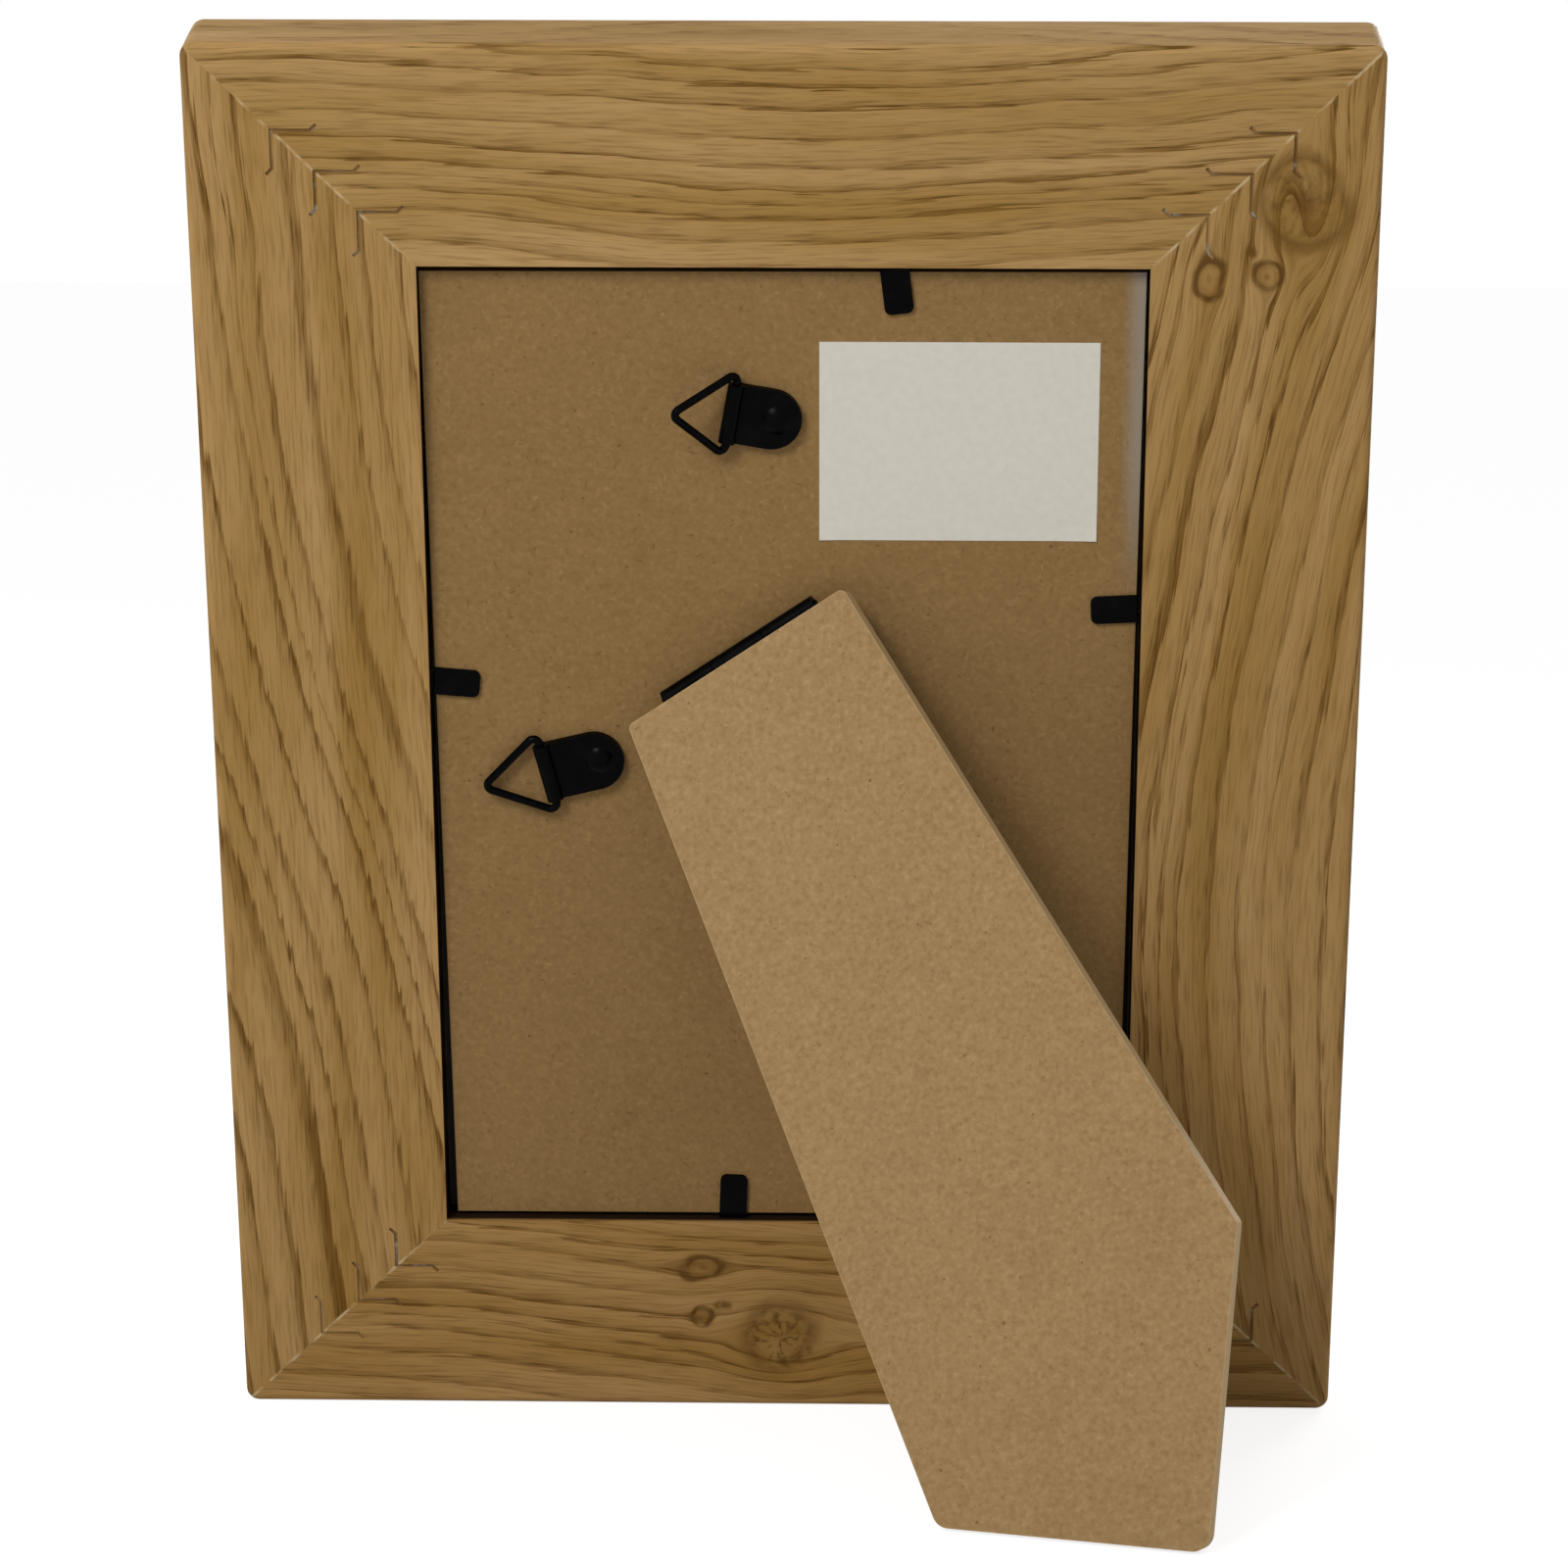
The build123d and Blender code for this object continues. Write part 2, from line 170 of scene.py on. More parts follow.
knots = {  # places and radii in mm; a long knot is stretched along the grain
    "right_rail": [
        {"at": (73.7, 196.6), "radius": 5.6, "long": 1.35, "rings": "whole", "rays": 0.4},
        {"at": (60.7, 185.5), "radius": 2.0, "long": 1.55, "rings": "small"},
        {"at": (69.0, 185.3), "radius": 2.0, "long": 1.05, "rings": "small"},
        {"at": (66.8, 189.0), "radius": 0.8, "long": 1.0, "rings": "dot"},
    ],
    "bottom_rail": [
        {"at": (-1.0, 12.1), "radius": 5.8, "long": 1.0, "rings": "whole", "rays": 0.8},
        {"at": (-12.7, 24.5), "radius": 1.95, "long": 1.7, "rings": "small"},
        {"at": (-13.0, 16.0), "radius": 1.6, "long": 1.0, "rings": "small"},
        {"at": (-9.8, 18.0), "radius": 0.8, "long": 1.6, "rings": "dot"},
    ],
}
knotShape = {  # in shares of a radius; lumps, gaps and rayRun are how many to one, rays how many to a radian
    "reach": 1.6, "flank": 0.5, "push": 0.8, "span": (0.5, 2.5), "core": (1.1, 0.7),
    "lumps": 0.5, "gaps": 0.9, "rays": 3.2, "rayRun": 4.0,
}
knotRings = {  # from the pith out, in shares of twice the radius
    "whole": {
        0.00: ("#5A3812", 0.6), 0.06: ("#6A4719", 0.5), 0.12: ("#78561F", 0.4), 0.38: ("#745420", 0.5),
        0.46: ("#5E4014", 0.7), 0.54: ("#644516", 0.5), 0.64: ("#785824", 0.12), 0.80: ("#7E5E28", 0.0),
    },
    "small": {
        0.00: ("#6A4718", 0.6), 0.10: ("#8A6632", 0.45), 0.32: ("#755222", 0.65), 0.42: ("#4F330E", 0.9),
        0.55: ("#543710", 0.85), 0.66: ("#6A4A1A", 0.2), 0.78: ("#86642E", 0.0),
    },
    "dot": {0.00: ("#523610", 0.85), 0.40: ("#5A3C12", 0.7), 0.70: ("#6A4A1A", 0.0)},
}


# A knot's push on the grain, and its broken rings and short dark rays as colours with their strengths
def knotLook(tree, grain, place, knot):
    radius = knot["radius"]
    offset = addNode(tree, "VectorMath", {0: grain, 1: place}, operation="SUBTRACT")
    flat = addNode(tree, "VectorMath", {0: offset, 1: (1 / knot["long"], 1, 0)}, operation="MULTIPLY")
    distance = addNode(tree, "VectorMath", {0: flat}, operation="LENGTH")
    near = addNode(tree, "Math", {0: distance, 1: knotShape["reach"] * radius}, operation="DIVIDE")
    near = addNode(tree, "Math", {0: near, 1: 2.0}, operation="POWER")
    near = addNode(tree, "Math", {0: near, 1: -1.0}, operation="MULTIPLY")
    near = addNode(tree, "Math", {0: near}, operation="EXPONENT")
    beside = addNode(tree, "SeparateXYZ", {0: offset}).outputs["Y"]
    beside = addNode(tree, "Math", {0: beside, 1: knotShape["flank"] * radius}, operation="DIVIDE")
    beside = addNode(tree, "Math", {0: beside}, operation="TANH")
    push = addNode(tree, "Math", {0: near, 1: beside}, operation="MULTIPLY")

    lumps = {"Vector": grain, "Scale": knotShape["lumps"] / radius, "Detail": 0.0}
    lumps = addNode(tree, "TexNoise", lumps)
    edge = addNode(tree, "Math", {0: lumps, 1: radius, 2: distance}, operation="MULTIPLY_ADD")
    pith, rim = (s * radius for s in knotShape["span"])
    share = addNode(tree, "MapRange", {"Value": edge, "From Min": pith, "From Max": rim})
    ring = addNode(tree, "ValToRGB", {"Fac": share}, stops=knotRings[knot["rings"]])
    gaps = {"Vector": grain, "Scale": knotShape["gaps"] / radius, "Detail": 0.0}
    gaps = addNode(tree, "TexNoise", gaps)
    gaps = addNode(tree, "MapRange", {"Value": gaps, "From Min": 0.3, "From Max": 0.5, "To Min": 0.5})
    strength = addNode(tree, "Math", {0: ring.outputs["Alpha"], 1: gaps}, operation="MULTIPLY")
    colours = [(strength, ring.outputs["Color"])]

    if "rays" in knot:  # they open from the pith
        spread = (knotShape["rays"], knotShape["rays"], 0)
        outward = addNode(tree, "VectorMath", {0: flat}, operation="NORMALIZE")
        outward = addNode(tree, "VectorMath", {0: outward, 1: spread}, operation="MULTIPLY")
        run = addNode(tree, "Math", {0: distance, 1: knotShape["rayRun"] / radius}, operation="MULTIPLY")
        run = addNode(tree, "CombineXYZ", {2: run})
        outward = addNode(tree, "VectorMath", {0: outward, 1: run}, operation="ADD")
        rays = addNode(tree, "TexNoise", {"Vector": outward, "Scale": 1.0, "Detail": 2.0})
        rays = {"Value": rays, "From Min": 0.48, "From Max": 0.66, "To Max": knot["rays"]}
        rays = addNode(tree, "MapRange", rays)
        outer, inner = (s * radius for s in knotShape["core"])
        core = addNode(tree, "MapRange", {"Value": distance, "From Min": outer, "From Max": inner})
        strength = addNode(tree, "Math", {0: rays, 1: core}, operation="MULTIPLY")
        colours.append((strength, linear(oak["ray"])))
    return push, colours


# A pale, broken line of glue along the mitres, and painted shade darkening the walls inside the rebate
def glueAndRebateShade(tree, back, colour):
    middle = (0, frameSize["height"] / 2, 0)
    corner = addNode(tree, "VectorMath", {0: back, 1: middle}, operation="SUBTRACT")
    corner = addNode(tree, "VectorMath", {0: corner}, operation="ABSOLUTE")
    corner = addNode(tree, "VectorMath", {0: corner, 1: (*rebateHalf, 0)}, operation="SUBTRACT")
    sideways, upwards = addNode(tree, "SeparateXYZ", {0: corner}).outputs[:2]
    mitre = addNode(tree, "Math", {0: sideways, 1: upwards}, operation="SUBTRACT")
    mitre = addNode(tree, "Math", {0: mitre}, operation="ABSOLUTE")
    mitre = addNode(tree, "MapRange", {"Value": mitre, "From Min": oak["glueWidth"], "From Max": 0.0})
    broken = addNode(tree, "TexNoise", {"Vector": back, "Scale": 1 / oak["glueLength"], "Detail": 2.0})
    broken = addNode(tree, "MapRange", {"Value": broken, "From Min": 0.45, "From Max": 0.6})
    glue = addNode(tree, "Math", {0: mitre, 1: broken}, operation="MULTIPLY")
    colour = addNode(tree, "Mix", {0: glue, 1: colour, 2: linear(oak["glue"])}, data_type="RGBA")

    # Painted shade on the walls inside the rebate, below the back
    outer, inner = oak["shadeEdge"]
    inside = addNode(tree, "Math", {0: sideways, 1: upwards}, operation="MAXIMUM")
    rebateShade = addNode(tree, "MapRange", {"Value": inside, "From Min": outer, "From Max": inner})
    sunk = addNode(tree, "SeparateXYZ", {0: back}).outputs["Z"]
    for least, most in oak["shadeDepths"]:
        within = addNode(tree, "MapRange", {"Value": sunk, "From Min": least, "From Max": most})
        rebateShade = addNode(tree, "Math", {0: rebateShade, 1: within}, operation="MULTIPLY")
    return addNode(tree, "Mix", {0: rebateShade, 1: colour, 2: linear(oak["rebate"])}, data_type="RGBA")


def oakRail(name):
    rail = oak["rails"][name]
    material, tree = newMaterial("oiled_oak_" + name)
    back = planeSpace(tree, rightSeen, outOfBack, backFoot)
    turn = Matrix.Rotation(-radians(rail["turn"]), 3, "Z")
    shift = -(turn @ Vector((*rail["centre"], 0)))
    grain = addNode(tree, "Mapping", {"Vector": back, "Location": shift, "Rotation": turn.to_euler()})
    along, across, depth = addNode(tree, "SeparateXYZ", {0: grain}).outputs

    pushed = across
    knotColours = []
    for knot in knots.get(name, []):
        push, colours = knotLook(tree, grain, turn @ Vector((*knot["at"], 0)) + shift, knot)
        size = -knotShape["push"] * knot["radius"]
        pushed = addNode(tree, "Math", {0: push, 1: size, 2: pushed}, operation="MULTIPLY_ADD")
        knotColours += colours

    # Slow waves in the grain, then the lines that the rings and the fibres follow
    waveLength, waveWidth = oak["wave"]
    waves = {"Vector": grain, "Scale": (1 / waveLength, 1 / waveWidth, 1 / waveWidth)}
    waves["Location"] = [rail["shift"]] * 3
    waves = addNode(tree, "Mapping", waves)
    wave = addNode(tree, "TexNoise", {"Vector": waves, "Scale": 1.0, "Detail": 2.0})
    bent = addNode(tree, "Math", {0: wave, 1: oak["wobble"], 2: pushed}, operation="MULTIPLY_ADD")
    bow, bowLength, bowStart = rail["bow"]
    swing = addNode(tree, "Math", {0: along, 1: -bowStart}, operation="ADD")
    swing = addNode(tree, "Math", {0: swing, 1: 2 * pi / bowLength}, operation="MULTIPLY")
    swing = addNode(tree, "Math", {0: swing}, operation="SINE")
    lean = addNode(tree, "Math", {0: along, 1: -tan(radians(rail["slant"]))}, operation="MULTIPLY")
    lean = addNode(tree, "Math", {0: swing, 1: -bow, 2: lean}, operation="MULTIPLY_ADD")
    fibreLine = addNode(tree, "Math", {0: lean, 1: rail["lean"], 2: bent}, operation="MULTIPLY_ADD")
    fibres = addNode(tree, "CombineXYZ", {0: along, 1: fibreLine, 2: depth})
    fibre = stretched(tree, fibres, oak["fibre"], 2.0)

    # The year bands, unevenly spaced, each of its own strength and serrated by the fibres
    ringed = addNode(tree, "Math", {0: bent, 1: lean}, operation="ADD")
    ringed = addNode(tree, "Math", {0: depth, 1: oak["dip"], 2: ringed}, operation="MULTIPLY_ADD")
    ringed = addNode(tree, "Math", {0: fibre, 1: oak["serration"], 2: ringed}, operation="MULTIPLY_ADD")
    uneven = {"W": ringed, "Scale": 1 / oak["unevenLength"], "Detail": 2.0}
    uneven = addNode(tree, "TexNoise", uneven, noise_dimensions="1D")
    years = addNode(tree, "Math", {0: ringed, 1: rail["ring"]}, operation="DIVIDE")
    years = addNode(tree, "Math", {0: uneven, 1: oak["uneven"], 2: years}, operation="MULTIPLY_ADD")
    year = addNode(tree, "Math", {0: years}, operation="FRACT")
    band = addNode(tree, "ValToRGB", {"Fac": year}, stops=yearBand)
    count = addNode(tree, "Math", {0: years}, operation="FLOOR")
    own = addNode(tree, "TexWhiteNoise", {"W": count}, noise_dimensions="1D")
    own = addNode(tree, "MapRange", {"Value": own, "To Min": oak["faintYear"]})
    band = addNode(tree, "Math", {0: band, 1: own}, operation="MULTIPLY")

    # Bands come and go along the rail; pores are short dark dashes, most of them in the bands
    comes = stretched(tree, fibres, oak["comes"], 1.0)
    comes = addNode(tree, "MapRange", {"Value": comes, "From Min": 0.3, "From Max": 0.55, "To Min": 0.4})
    banded = addNode(tree, "Math", {0: band, 1: comes}, operation="MULTIPLY")
    fade = {"Value": depth, "From Min": oak["fade"]["from"], "From Max": oak["fade"]["to"]}
    fade.update({"To Min": 1.0, "To Max": oak["fade"]["left"]})
    fade = addNode(tree, "MapRange", fade)
    banded = addNode(tree, "Math", {0: banded, 1: fade}, operation="MULTIPLY")
    dash = stretched(tree, fibres, oak["dash"], 2.0)
    dash = addNode(tree, "MapRange", {"Value": dash, "From Min": 0.48, "From Max": 0.68})
    inBand = {"Value": banded, "From Max": 0.7, "To Min": oak["poresBetween"], "To Max": 1.0}
    inBand = addNode(tree, "MapRange", inBand)
    pore = addNode(tree, "Math", {0: dash, 1: inBand}, operation="MULTIPLY")

    # Colour: broad tone, fine streaks, bands, pores, knots, then glue and the painted shade in the rebate
    # Each rail's tones are darkened by its tint, as painted shade
    tones = {}
    for tone in ("pale", "middle", "band", "pore"):
        tones[tone] = [c * k for c, k in zip(linear(oak[tone]), (*rail["tint"], 1))]
    broad = stretched(tree, fibres, oak["tone"], 3.0)
    broad = addNode(tree, "MapRange", {"Value": broad, "From Min": 0.35, "From Max": 0.65})
    colour = addNode(tree, "Mix", {0: broad, 1: tones["pale"], 2: tones["middle"]}, data_type="RGBA")
    layers = [
        (fibre, 0.5, 0.8, oak["streaks"], "band"),
        (banded, 0.0, 1.0, oak["bands"], "band"),
        (pore, 0.0, 1.0, oak["pores"], "pore"),
    ]
    colour = layered(tree, colour, layers, tones)
    for strength, ring in knotColours:
        colour = addNode(tree, "Mix", {0: strength, 1: colour, 2: ring}, data_type="RGBA")
    colour = glueAndRebateShade(tree, back, colour)

    smoothest, roughest = oak["roughness"]
    rough = addNode(tree, "MapRange", {"Value": pore, "To Min": smoothest, "To Max": roughest})
    height = addNode(tree, "Math", {0: pore, 1: -1.0}, operation="MULTIPLY")
    bump = {"Strength": oak["bump"], "Distance": oak["poreDepth"] * mm, "Height": height}
    bump = addNode(tree, "Bump", bump)
    wires = {"Base Color": colour, "Roughness": rough, "Normal": bump, "Specular IOR Level": oak["sheen"]}
    addNode(tree, "OutputMaterial", {"Surface": addNode(tree, "BsdfPrincipled", wires)})
    dress(material, name)


for railName in oak["rails"]:
    oakRail(railName)
print("oak on", len(oak["rails"]), "rails")


# Fibreboard, pressed smooth: even brown with sparse dark and pale fibres lying every way, and sawn edges,
# dark on the board and pale on the strut, whose rims carry a painted highlight; its fibres are drawn coarser
# than real ones to show
fibreboard = {
    "board": {"face": "#866940", "dark": "#5C431F", "light": "#A5875B", "edge": "#6E5330", "mottle": 0.7},
    # edge is the sawn edges' own tone; it is also laid on the rims, on the strut as a painted highlight
    "strut": {"face": "#977A52", "dark": "#684F28", "light": "#B0956B", "edge": "#B59A70", "mottle": 1.0},
    "cloud": 14.0, "speckle": 0.8, "pit": 0.9, "rimRadius": 0.35,
    "roughness": (0.58, 0.75), "bump": 0.12, "grit": 0.1, "sheen": 0.1,
    "fibre": (1.3, 0.45), "fibreSpan": (0.78, 0.94), "firstTurn": 11, "turns": (0, 36, 72, 108, 144),
    "apart": 7.0, "fibres": {"dark": {"strength": 0.55, "shift": 4}, "light": {"strength": 0.5, "shift": 5}},
}
haze = {"colour": "#958C7F", "inner": 48.6, "outer": 51.8, "bottom": 130.0, "top": 160.0, "most": 0.8}


def fibreboardPiece(piece, xAxis, zAxis, origin):
    look = fibreboard[piece]
    material, tree = newMaterial("pressed_fibreboard_" + piece)
    plane = planeSpace(tree, xAxis, zAxis, origin)
    clouds = addNode(tree, "TexNoise", {"Vector": plane, "Scale": 1 / fibreboard["cloud"], "Detail": 3.0})
    speckle = addNode(tree, "TexNoise", {"Vector": plane, "Scale": 1 / fibreboard["speckle"], "Detail": 3.0})
    pits = addNode(tree, "TexNoise", {"Vector": plane, "Scale": 1 / fibreboard["pit"], "Detail": 0.0})
    layers = [
        (clouds, 0.35, 0.7, 0.1, "dark"),
        (speckle, 0.52, 0.75, 0.36 * look["mottle"], "dark"),
        (speckle, 0.48, 0.28, 0.34 * look["mottle"], "light"),
        (pits, 0.79, 0.88, 0.7, "dark"),
    ]
    for tone, kind in fibreboard["fibres"].items():
        total = None
        for turn in fibreboard["turns"]:
            laid = {"Vector": plane, "Rotation": (0, 0, radians(turn + fibreboard["firstTurn"]))}
            laid["Location"] = [fibreboard["apart"] * turn + kind["shift"]] * 3
            one = stretched(tree, addNode(tree, "Mapping", laid), fibreboard["fibre"], 0.0)
            total = addNode(tree, "Math", {0: one, 1: total}, operation="MAXIMUM") if total else one
        layers.append((total, *fibreboard["fibreSpan"], kind["strength"], tone))

    # Sawn edges face sideways; rims are where a rounded normal leaves the true one, and take the edge tone
    # too, on the strut as a painted highlight
    facing = addNode(tree, "TexCoord").outputs["Normal"]
    facing = addNode(tree, "VectorMath", {0: facing, 1: zAxis}, operation="DOT_PRODUCT")
    facing = addNode(tree, "Math", {0: facing.outputs["Value"]}, operation="ABSOLUTE")
    layers.append((facing, 0.8, 0.4, 0.8, "edge"))
    rounded = addNode(tree, "Bevel", {"Radius": fibreboard["rimRadius"] * mm}, samples=4)
    sharp = addNode(tree, "NewGeometry").outputs["Normal"]
    worn = addNode(tree, "VectorMath", {0: rounded, 1: sharp}, operation="DOT_PRODUCT")
    layers.append((worn.outputs["Value"], 0.99, 0.8, 0.7, "edge"))
    tones = {tone: linear(look[tone]) for tone in ("dark", "light", "edge")}
    colour = layered(tree, linear(look["face"]), layers, tones)

    if piece == "board":  # a pale strip down the right edge, fading in from the edge and towards the bottom
        place = addNode(tree, "SeparateXYZ", {0: plane})
        strip = {"Value": place.outputs["X"], "From Min": haze["inner"], "From Max": haze["outer"]}
        strip["To Max"] = haze["most"]
        strip = addNode(tree, "MapRange", strip, interpolation_type="SMOOTHSTEP")
        height = {"Value": place.outputs["Y"], "From Min": haze["bottom"], "From Max": haze["top"]}
        height = addNode(tree, "MapRange", height, interpolation_type="SMOOTHSTEP")
        strip = addNode(tree, "Math", {0: strip, 1: height}, operation="MULTIPLY")
        colour = addNode(tree, "Mix", {0: strip, 1: colour, 2: linear(haze["colour"])}, data_type="RGBA")
    smoothest, roughest = fibreboard["roughness"]
    rough = addNode(tree, "MapRange", {"Value": speckle, "To Min": smoothest, "To Max": roughest})
    bump = {"Strength": fibreboard["bump"], "Distance": fibreboard["grit"] * mm, "Height": speckle}
    wires = {"Base Color": colour, "Roughness": rough, "Normal": addNode(tree, "Bump", bump)}
    wires["Specular IOR Level"] = fibreboard["sheen"]
    addNode(tree, "OutputMaterial", {"Surface": addNode(tree, "BsdfPrincipled", wires)})
    return material


dress(fibreboardPiece("board", rightSeen, outOfBack, backFoot), "backing_board")
dress(fibreboardPiece("strut", -hingeAxis, strutOut, Vector(strutJoint["pos_m"])), "strut")
print("fibreboard on the board and the strut")


# Black painted steel strip and wire: near black, satin, with a faint skin in the paint; its sheen is low,
# because the flats mirror the white floor
blackPaint = {
    "colour": "#020202", "worn": "#060606", "skin": 0.5, "cloud": 3.0,
    "roughness": (0.2, 0.34), "bump": 0.12, "grit": 0.05, "sheen": 0.03,
}


def blackSteel():
    material, tree = newMaterial("black_painted_steel")
    seat = addNode(tree, "TexCoord").outputs["Object"]
    skin = addNode(tree, "TexNoise", {"Vector": seat, "Scale": 1 / (blackPaint["skin"] * mm), "Detail": 2.0})
    cloud = {"Vector": seat, "Scale": 1 / (blackPaint["cloud"] * mm), "Detail": 3.0}
    cloud = addNode(tree, "TexNoise", cloud)
    worn = addNode(tree, "MapRange", {"Value": cloud, "From Min": 0.45, "From Max": 0.7})
    colours = {0: worn, 1: linear(blackPaint["colour"]), 2: linear(blackPaint["worn"])}
    colour = addNode(tree, "Mix", colours, data_type="RGBA")
    smoothest, roughest = blackPaint["roughness"]
    rough = {"Value": cloud, "From Min": 0.3, "From Max": 0.7, "To Min": smoothest, "To Max": roughest}
    rough = addNode(tree, "MapRange", rough)
    bump = {"Strength": blackPaint["bump"], "Distance": blackPaint["grit"] * mm, "Height": skin}
    wires = {"Base Color": colour, "Roughness": rough, "Normal": addNode(tree, "Bump", bump)}
    wires["Specular IOR Level"] = blackPaint["sheen"]
    addNode(tree, "OutputMaterial", {"Surface": addNode(tree, "BsdfPrincipled", wires)})
    return material


hardware = [n for n in nodes if n.startswith(("hanger_", "hinge_", "retaining_"))]
dress(blackSteel(), *hardware)
print("black steel on", len(hardware), "nodes")


# Nail steel, punched below the wood and browned with filler: thin brown lines, fainter here and there,
# with a grey glint now and then
nail = {
    "filler": "#75562C", "faint": "#9C7C4C", "steel": "#8C877C",
    "patch": 2.2, "cover": 11.0, "barest": 0.8, "roughness": (0.8, 0.4), "sheen": 0.25,
}


def nailSteel():
    material, tree = newMaterial("filled_nail_steel")
    seat = addNode(tree, "TexCoord").outputs["Object"]
    bare = addNode(tree, "TexNoise", {"Vector": seat, "Scale": 1 / (nail["patch"] * mm), "Detail": 3.0})
    bare = {"Value": bare, "From Min": 0.52, "From Max": 0.66, "To Max": nail["barest"]}
    bare = addNode(tree, "MapRange", bare)
    cover = addNode(tree, "TexNoise", {"Vector": seat, "Scale": 1 / (nail["cover"] * mm), "Detail": 1.0})
    cover = addNode(tree, "MapRange", {"Value": cover, "From Min": 0.4, "From Max": 0.6})
    filler = {0: cover, 1: linear(nail["filler"]), 2: linear(nail["faint"])}
    filler = addNode(tree, "Mix", filler, data_type="RGBA")
    colour = addNode(tree, "Mix", {0: bare, 1: filler, 2: linear(nail["steel"])}, data_type="RGBA")
    filled, polished = nail["roughness"]
    rough = addNode(tree, "MapRange", {"Value": bare, "To Min": filled, "To Max": polished})
    wires = {"Base Color": colour, "Roughness": rough, "Metallic": bare, "Specular IOR Level": nail["sheen"]}
    addNode(tree, "OutputMaterial", {"Surface": addNode(tree, "BsdfPrincipled", wires)})
    return material


dress(nailSteel(), "corner_v_nails")


# Float glass: clear, flat and glossy, with a trace of smear
glass = {"tint": "#F2F8F5", "ior": 1.52, "smear": 25.0, "roughness": (0.0, 0.06)}


def floatGlass():
    material, tree = newMaterial("float_glass")
    seat = addNode(tree, "TexCoord").outputs["Object"]
    smear = addNode(tree, "TexNoise", {"Vector": seat, "Scale": 1 / (glass["smear"] * mm), "Detail": 3.0})
    smoothest, roughest = glass["roughness"]
    rough = {"Value": smear, "From Min": 0.4, "From Max": 0.8, "To Min": smoothest, "To Max": roughest}
    rough = addNode(tree, "MapRange", rough)
    wires = {"Base Color": linear(glass["tint"]), "Roughness": rough}
    wires.update({"Transmission Weight": 1.0, "IOR": glass["ior"]})
    addNode(tree, "OutputMaterial", {"Surface": addNode(tree, "BsdfPrincipled", wires)})
    return material


dress(floatGlass(), "glass_pane")


# Uncoated paper and card: matt and slightly warm, with a faint fibre mottle; the card's back is dark grey,
# painted shade for the gaps round the board
paperLook = {"mottle": 1.2, "roughness": 0.8, "bump": 0.1, "tooth": 0.03, "sheen": 0.25}
card = {"front": "#EFEDE6", "shade": "#E6E3DA", "back": "#24211E"}


def paper(name, colour, shade, shadeBack=None):
    material, tree = newMaterial(name)
    seat = addNode(tree, "TexCoord").outputs
    mottle = {"Vector": seat["Object"], "Scale": 1 / (paperLook["mottle"] * mm), "Detail": 3.0}
    mottle = addNode(tree, "TexNoise", mottle)
    tone = addNode(tree, "MapRange", {"Value": mottle, "From Min": 0.35, "From Max": 0.75})
    tone = addNode(tree, "Mix", {0: tone, 1: linear(colour), 2: linear(shade)}, data_type="RGBA")
    # A dark back, as painted shade seen through the gaps round the board
    if shadeBack:
        facing = addNode(tree, "VectorMath", {0: seat["Normal"], 1: outOfBack}, operation="DOT_PRODUCT")
        facing = {"Value": facing.outputs["Value"], "From Min": -0.5, "From Max": -0.3}
        facing = addNode(tree, "MapRange", facing)
        tone = addNode(tree, "Mix", {0: facing, 1: tone, 2: linear(shadeBack)}, data_type="RGBA")
    bump = {"Strength": paperLook["bump"], "Distance": paperLook["tooth"] * mm, "Height": mottle}
    wires = {"Base Color": tone, "Roughness": paperLook["roughness"], "Normal": addNode(tree, "Bump", bump)}
    wires["Specular IOR Level"] = paperLook["sheen"]
    addNode(tree, "OutputMaterial", {"Surface": addNode(tree, "BsdfPrincipled", wires)})
    return material


dress(paper("card_with_painted_shade_back", card["front"], card["shade"], card["back"]), "photo_insert")
print("nails, glass and card done")


# A blank label on the board, its lower corners barely lifting
label = {
    "centre": (25.45, 159.6), "size": (40.5, 30.4), "thickness": 0.05, "seat": 0.01,  # the gap under it
    "lift": 0.2, "curl": 0.85, "cells": (27, 20), "colour": "#CDC9BD", "shade": "#C7C3B6",
}


def makeLabel():
    mesh = bpy.data.meshes.new("blank_label")
    piece = bpy.data.objects.new("blank_label", mesh)
    bpy.context.scene.collection.objects.link(piece)
    acrossCells, upCells = label["cells"]
    build = bmesh.new()
    rows = []
    for j in range(upCells + 1):
        row = []
        for i in range(acrossCells + 1):
            x, y = i / acrossCells - 0.5, j / upCells - 0.5
            curled = max(0.0, abs(x) - y - label["curl"]) / (1 - label["curl"])  # 1 at a lower corner
            w = label["lift"] * curled**2 + label["thickness"] - frameSize["boardRecess"]
            u, v = (c + share * s for c, share, s in zip(label["centre"], (x, y), label["size"]))
            row.append(build.verts.new(onBack(u, v, w)))
        rows.append(row)
    for low, high in zip(rows, rows[1:]):
        for i in range(acrossCells):
            build.faces.new((low[i], low[i + 1], high[i + 1], high[i]))
    build.to_mesh(mesh)
    build.free()
    thick = piece.modifiers.new("paper", "SOLIDIFY")
    thick.thickness = (label["thickness"] - label["seat"]) * mm
    thick.offset = -1
    mesh.materials.append(paper("label_paper", label["colour"], label["shade"]))
    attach(piece, "frame")


makeLabel()
print("label on")


# One for what the camera sees, also in metal and through glass, and nought for light that falls on things
def seenRay(tree):
    path = addNode(tree, "LightPath").outputs
    seen = {0: path["Is Camera Ray"], 1: path["Is Glossy Ray"]}
    seen = addNode(tree, "Math", seen, operation="MAXIMUM")
    return addNode(tree, "Math", {0: seen, 1: path["Is Transmission Ray"]}, operation="MAXIMUM")


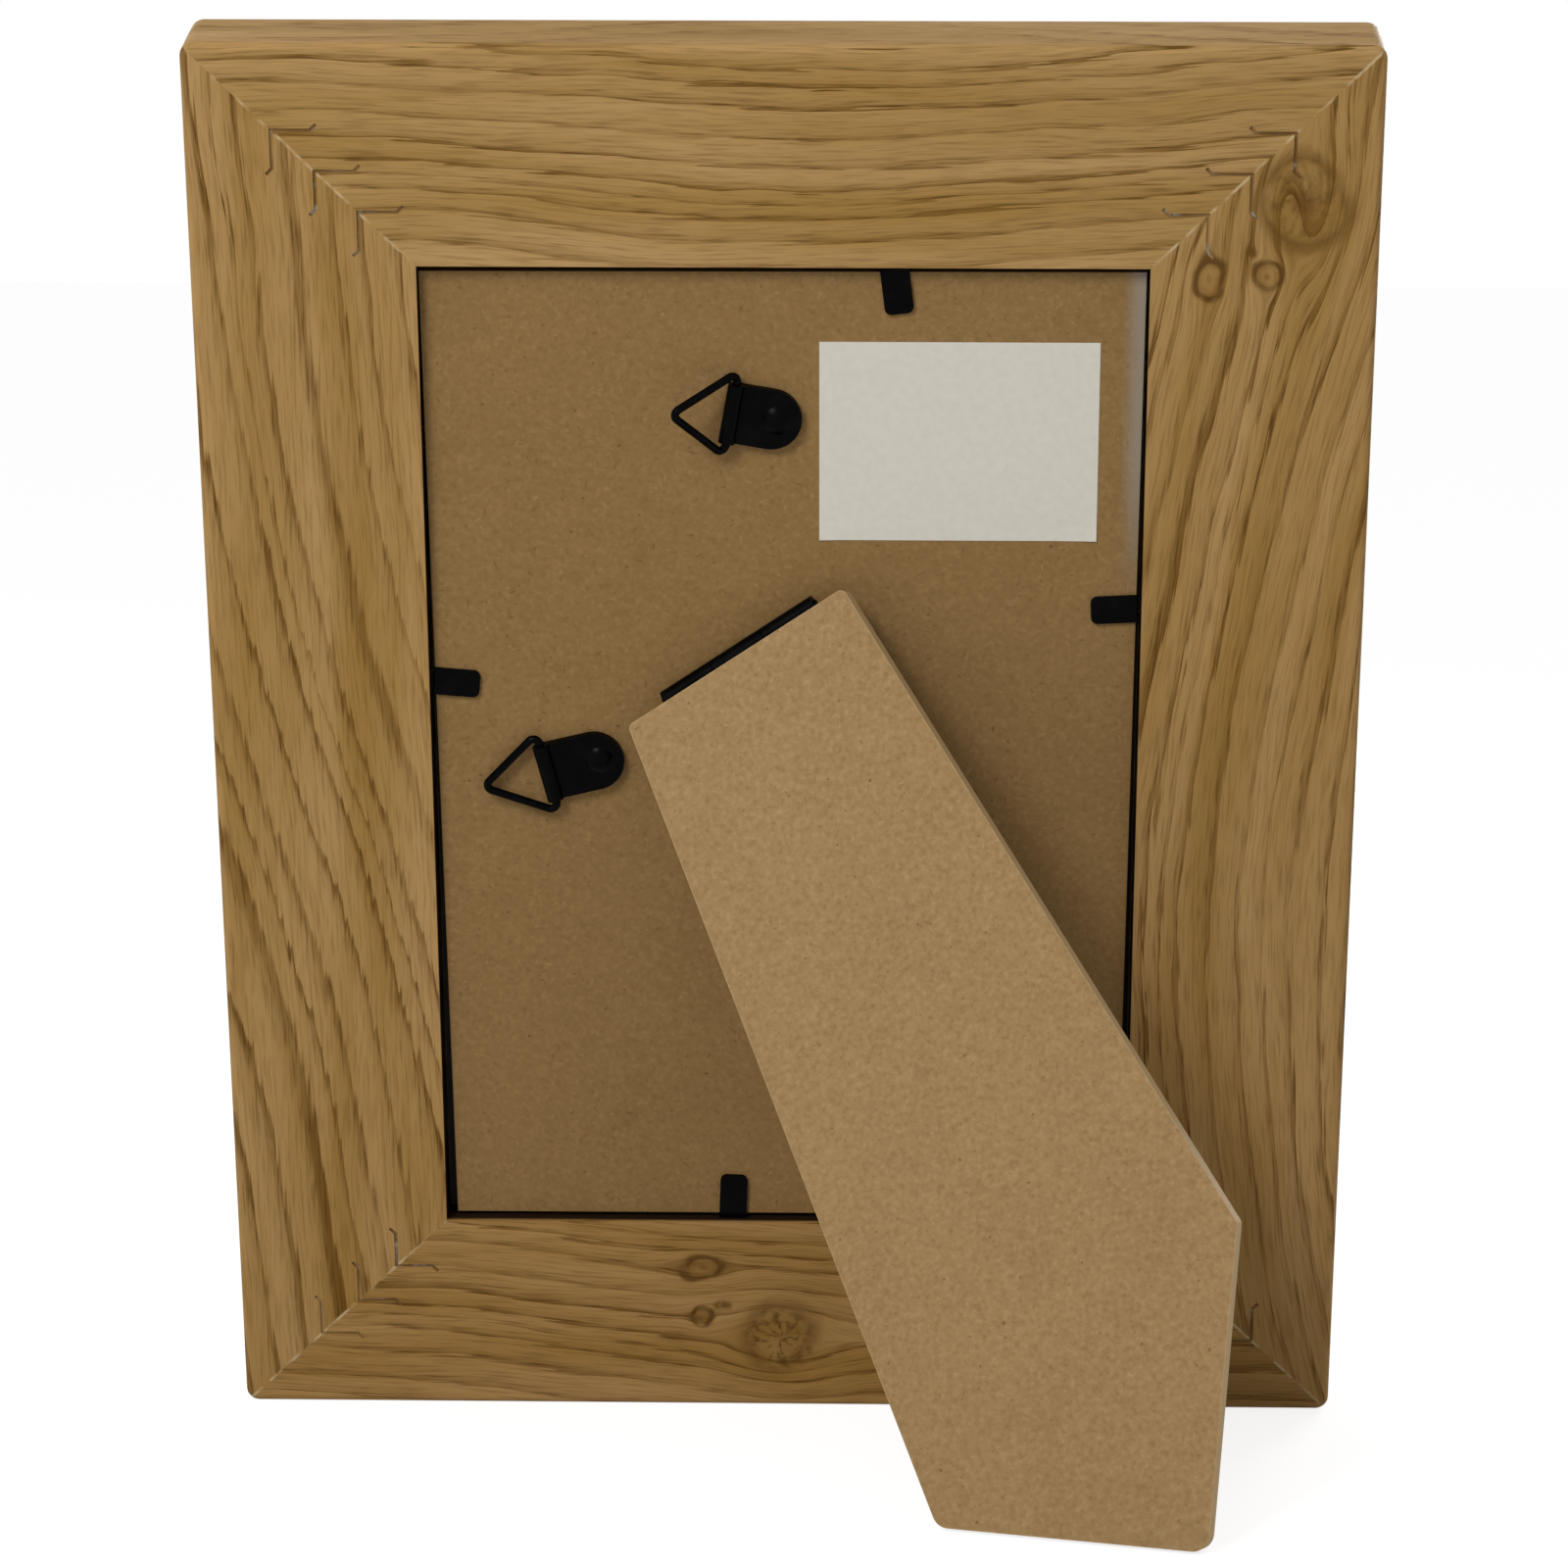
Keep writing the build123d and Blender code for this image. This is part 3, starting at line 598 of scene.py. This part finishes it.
# Floor, in metres: white to the eye, and it keeps a soft shadow
stage = {"half": 4.0, "bounce": "#D8D8D8", "shadowShare": 0.32, "glow": 0.82}
half = stage["half"]
floorCorners = [(-half, -half, 0), (half, -half, 0), (half, half, 0), (-half, half, 0)]
floorMesh = bpy.data.meshes.new("floor")
floorMesh.from_pydata(floorCorners, [], [(0, 1, 2, 3)])
floor = bpy.data.objects.new("floor", floorMesh)
bpy.context.scene.collection.objects.link(floor)
floorPaint, floorTree = newMaterial("matt_white_floor")
bounce = addNode(floorTree, "BsdfDiffuse", {"Color": linear(stage["bounce"])})
shadowed = addNode(floorTree, "BsdfDiffuse", {"Color": [stage["shadowShare"]] * 3 + [1]})
glow = addNode(floorTree, "Emission", {"Strength": stage["glow"]})
seenFloor = addNode(floorTree, "AddShader", {0: shadowed, 1: glow})
floorLook = addNode(floorTree, "MixShader", {0: seenRay(floorTree), 1: bounce, 2: seenFloor})
addNode(floorTree, "OutputMaterial", {"Surface": floorLook})
floorMesh.materials.append(floorPaint)

# Soft studio light, in watts and metres: a bright room, a lamp up and to the left of the camera, and a
# low one for the front
light = {
    "room": 0.5, "aim": (0.0, 0.0, 0.12),
    "lamps": {
        "back_lamp": {"power": 5.6, "size": 0.3, "place": (0.40, 0.70, 0.64)},
        "front_lamp": {"power": 5.0, "size": 0.3, "place": (-0.42, -0.82, 0.30)},
    },
}
world = bpy.data.worlds.new("white_room")
bpy.context.scene.world = world
world.use_nodes = True
roomTree = world.node_tree
roomTree.nodes.clear()
level = {"Value": seenRay(roomTree), "To Min": light["room"], "To Max": 1.0}
level = addNode(roomTree, "MapRange", level)
room = addNode(roomTree, "Background", {"Color": (1, 1, 1, 1), "Strength": level})
addNode(roomTree, "OutputWorld", {"Surface": room})
for lampName, look in light["lamps"].items():
    lampData = bpy.data.lights.new(lampName, "AREA")
    lampData.energy = look["power"]
    lampData.size = look["size"]
    lamp = bpy.data.objects.new(lampName, lampData)
    lamp.location = look["place"]
    lamp.rotation_euler = (Vector(light["aim"]) - lamp.location).to_track_quat("-Z", "Y").to_euler()
    bpy.context.scene.collection.objects.link(lamp)

# Camera: places on the back of the frame, in millimetres
cameraView = {
    "place": (16.02, 404.19, 697.30), "aim": (-0.03, 106.35, 0.0), "roll": 0.167,
    "lens": 116.88, "sensor": 36.0, "nearest": 0.01,
}
cameraData = bpy.data.cameras.new("camera")
cameraData.lens = cameraView["lens"]
cameraData.sensor_width = cameraView["sensor"]
cameraData.clip_start = cameraView["nearest"]  # in metres
camera = bpy.data.objects.new("camera", cameraData)
camera.location = onBack(*cameraView["place"])
looking = (onBack(*cameraView["aim"]) - camera.location).to_track_quat("-Z", "Y").to_matrix()
camera.rotation_euler = (looking @ Matrix.Rotation(radians(cameraView["roll"]), 3, "Z")).to_euler()
bpy.context.scene.collection.objects.link(camera)
bpy.context.scene.camera = camera
bpy.context.scene.view_settings.view_transform = "Standard"
print("floor, light and camera set")
